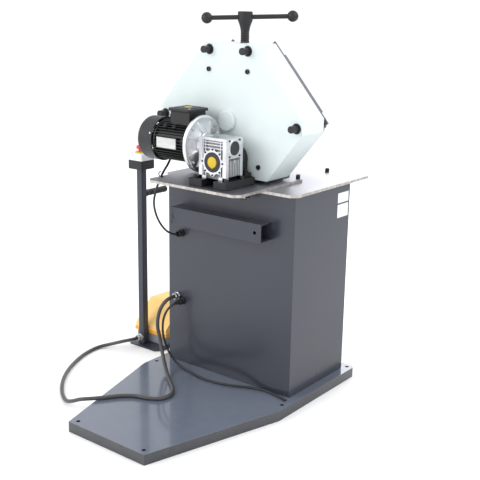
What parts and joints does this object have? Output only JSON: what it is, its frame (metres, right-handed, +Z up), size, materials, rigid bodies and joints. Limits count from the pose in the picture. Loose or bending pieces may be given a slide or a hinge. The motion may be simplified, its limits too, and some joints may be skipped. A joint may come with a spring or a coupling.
{
  "type": "pipe and profile bending machine",
  "caption": "Floor-standing motor-driven roll bender: cabinet on a base plate, tilting gear head with forming rolls, screw feed, pedestal stop and foot switch.",
  "frame": {"origin": "middle of the footprint box on the floor, cords left out", "axes": "+Z up; -Y is the roll side where the operator stands, +Y the motor side, +X the pedestal side"},
  "size_m": [0.9687, 1.117, 1.3848],
  "materials": {
    "slate_paint": "slate grey powder coat, semi gloss",
    "pale_paint": "pale grey-green enamel, satin",
    "black_paint": "black enamel with fine texture",
    "bright_steel": "brushed and lightly oiled steel",
    "black_steel": "blackened machined steel",
    "cast_aluminium": "bright cast aluminium",
    "black_plastic": "matt black plastic",
    "dark_plastic": "dark grey pressed cowl",
    "white_plastic": "white plastic, light gloss",
    "red_plastic": "red plastic, gloss",
    "yellow_paint": "yellow-orange enamel",
    "grey_plastic": "grey moulded base",
    "cord_rubber": "black rubber cord sheath",
    "grip_rubber": "black rubber grip"
  },
  "bodies": {
    "stand": {"base_tray": "slate_paint", "cabinet": "slate_paint", "lower_plate": "bright_steel", "hinge_rod": "bright_steel", "tilt_bracket": "slate_paint", "motor_cable_gland": "black_plastic", "mains_gland": "black_plastic", "conduit_fitting_cabinet": "bright_steel", "mains_lead": "cord_rubber", "control_conduit": "cord_rubber", "pedestal_footplate": "slate_paint", "pedestal_pole": "slate_paint", "pedestal_grip": "grip_rubber", "conduit_fitting_pole": "bright_steel", "estop_box_lower": "black_plastic", "estop_box_cover": "white_plastic", "foot_switch_base": "grey_plastic", "foot_switch_hood": "yellow_paint"},
    "door": {"cabinet_door": "slate_paint"},
    "knob": {"door_knob": "black_plastic"},
    "emergency_button": {"estop_button": "red_plastic"},
    "pedal": {"foot_pedal": "black_plastic"},
    "head": {"upper_plate": "bright_steel", "gear_casing": "pale_paint", "front_plate": "slate_paint", "tie_rod_1": "black_steel", "tie_rod_2": "black_steel", "tie_rod_3": "black_steel", "tie_rod_4": "black_steel", "edge_bar_right": "slate_paint", "edge_bar_left": "slate_paint", "gearbox_housing": "cast_aluminium", "motor_flange": "cast_aluminium", "motor_body": "black_paint", "fan_cowl": "dark_plastic", "terminal_box": "black_paint", "terminal_lid": "black_paint", "drive_block_left": "black_paint", "drive_block_right": "black_paint", "pillow_block": "black_paint", "motor_cable": "cord_rubber"},
    "rotor": {"motor_rotor": "black_plastic"},
    "drive": {"drive_shaft": "bright_steel"},
    "idler": {"idler_gear": "black_steel"},
    "right_roll": {"roll_shaft_right": "bright_steel", "lower_roll_right": "bright_steel"},
    "left_roll": {"roll_shaft_left": "bright_steel", "lower_roll_left": "bright_steel"},
    "slide": {"slide_block": "black_steel"},
    "upper_roll": {"top_roll_shaft": "bright_steel", "top_roll": "bright_steel"},
    "screw": {"lead_screw": "black_steel"},
    "bar": {"tommy_bar": "black_steel"}
  },
  "joints": [
    {"name": "head_tilt", "type": "hinge", "parent": "stand", "child": "head", "pos_m": [-0.11, -0.0345, 0.76], "axis": [-1, 0, 0], "range_deg": [0, 90], "deforming": ["motor_cable"]},
    {"name": "door_hinge", "type": "hinge", "parent": "stand", "child": "door", "pos_m": [0.108, -0.4425, 0.404], "axis": [0, 0, 1], "range_deg": [0, 110]},
    {"name": "door_latch", "type": "hinge", "parent": "door", "child": "knob", "pos_m": [-0.351, -0.4515, 0.405], "axis": [0, 1, 0], "range_deg": [0, 90]},
    {"name": "estop_press", "type": "slide", "parent": "stand", "child": "emergency_button", "axis": [0, 0, -1], "range_m": [0, 0.004], "stiffness_N_per_m": 1500, "springref_m": -0.002},
    {"name": "pedal_press", "type": "hinge", "parent": "stand", "child": "pedal", "pos_m": [0.373, -0.2505, 0.058], "axis": [1, 0, 0], "range_deg": [0, 8], "stiffness_Nm_per_rad": 30, "springref_deg": -8.59},
    {"name": "rotor_spin", "type": "hinge", "parent": "head", "child": "rotor", "pos_m": [-0.008, 0.0145, 0.931], "axis": [1, 0, 0], "continuous": true},
    {"name": "drive_spin", "type": "hinge", "parent": "head", "child": "drive", "pos_m": [-0.168, -0.0465, 0.881], "axis": [0, 1, 0], "continuous": true},
    {"name": "idler_spin", "type": "hinge", "parent": "head", "child": "idler", "pos_m": [-0.11, -0.1305, 1.004], "axis": [0, 1, 0], "continuous": true},
    {"name": "right_roll_spin", "type": "hinge", "parent": "head", "child": "right_roll", "pos_m": [-0.26, -0.2925, 0.965], "axis": [0, 1, 0], "continuous": true},
    {"name": "left_roll_spin", "type": "hinge", "parent": "head", "child": "left_roll", "pos_m": [0.04, -0.2925, 0.965], "axis": [0, 1, 0], "continuous": true},
    {"name": "top_roll_slide", "type": "slide", "parent": "head", "child": "slide", "axis": [0, 0, 1], "range_m": [-0.028, 0.036]},
    {"name": "top_roll_spin", "type": "hinge", "parent": "slide", "child": "upper_roll", "pos_m": [-0.11, -0.2925, 1.125], "axis": [0, 1, 0], "continuous": true},
    {"name": "screw_turn", "type": "hinge", "parent": "slide", "child": "screw", "pos_m": [-0.11, -0.1845, 1.3], "axis": [0, 0, 1], "range_deg": [-1686, 2166]},
    {"name": "tommy_bar_slide", "type": "slide", "parent": "screw", "child": "bar", "axis": [0.7895, 0.6127, -0.035], "range_m": [-0.087, 0.119]}
  ],
  "couplings": [
    {"joint": "drive_spin", "follows": "rotor_spin", "ratio": 0.01},
    {"joint": "idler_spin", "follows": "rotor_spin", "ratio": -0.005},
    {"joint": "right_roll_spin", "follows": "rotor_spin", "ratio": 0.0071429},
    {"joint": "left_roll_spin", "follows": "rotor_spin", "ratio": 0.0071429},
    {"joint": "screw_turn", "follows": "top_roll_slide", "rad_per_m": 1047.2}
  ]
}
